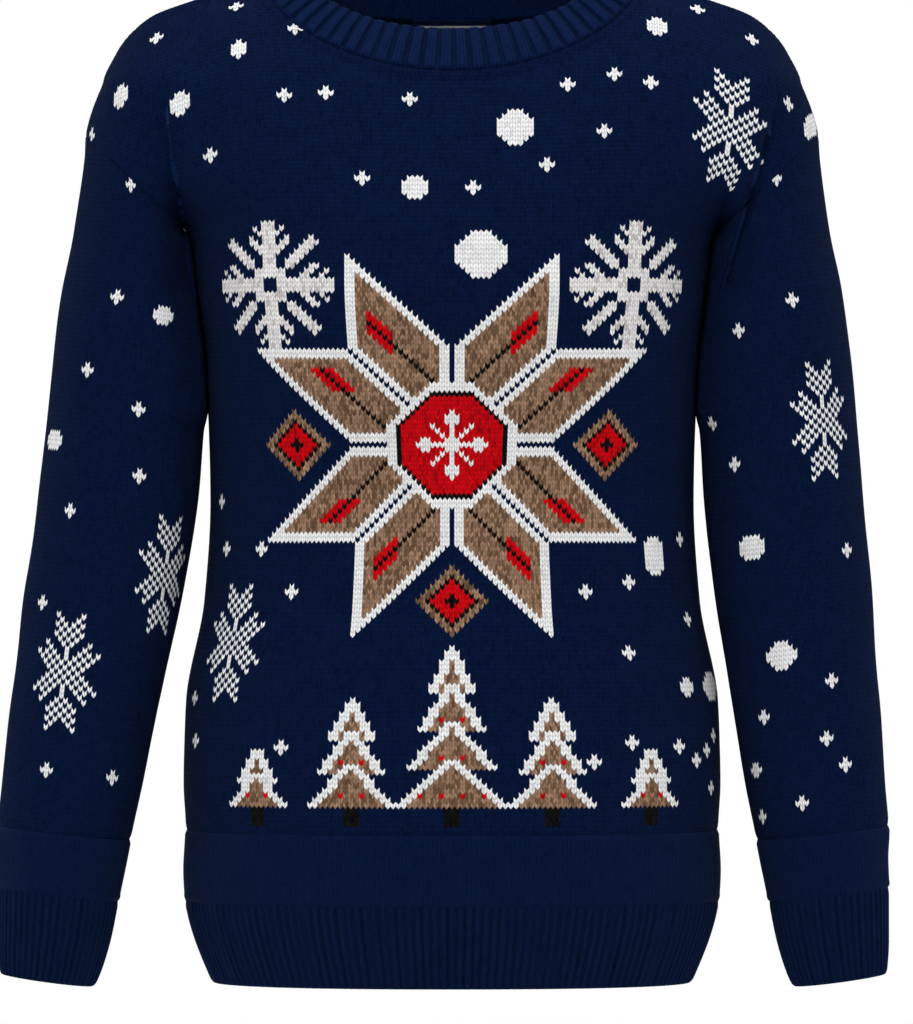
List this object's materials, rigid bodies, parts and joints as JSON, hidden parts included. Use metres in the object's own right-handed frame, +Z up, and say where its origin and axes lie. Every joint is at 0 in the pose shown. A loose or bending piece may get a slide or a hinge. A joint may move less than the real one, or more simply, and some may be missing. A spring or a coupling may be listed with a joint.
{
  "type": "christmas pullover",
  "caption": "Long-sleeved knitted Christmas pullover with a ribbed round neck, drop shoulders, ribbed cuffs and a ribbed hem, shown filled out as if worn.",
  "frame": {"origin": "middle of the neck, level with the tops of the shoulder seams, where the wearer's shoulders hold the garment", "axes": "+Z up, the front faces -Y, +X to the right as seen from the front"},
  "size_m": [0.5776, 0.2316, 0.67],
  "materials": {
    "jacquard_knit": "fine-gauge jacquard knit in navy yarn with white, brown, red and black motifs, matt",
    "rib_knit": "navy ribbed knit, matt",
    "woven_label": "plain navy woven label with a white line, slight sheen"
  },
  "bodies": {
    "root": {"front": "jacquard_knit", "back": "jacquard_knit", "left_sleeve": "jacquard_knit", "right_sleeve": "jacquard_knit", "neckband": "rib_knit", "hem_band_front": "rib_knit", "hem_band_back": "rib_knit", "left_cuff": "rib_knit", "right_cuff": "rib_knit", "neck_label": "woven_label"}
  },
  "joints": []
}
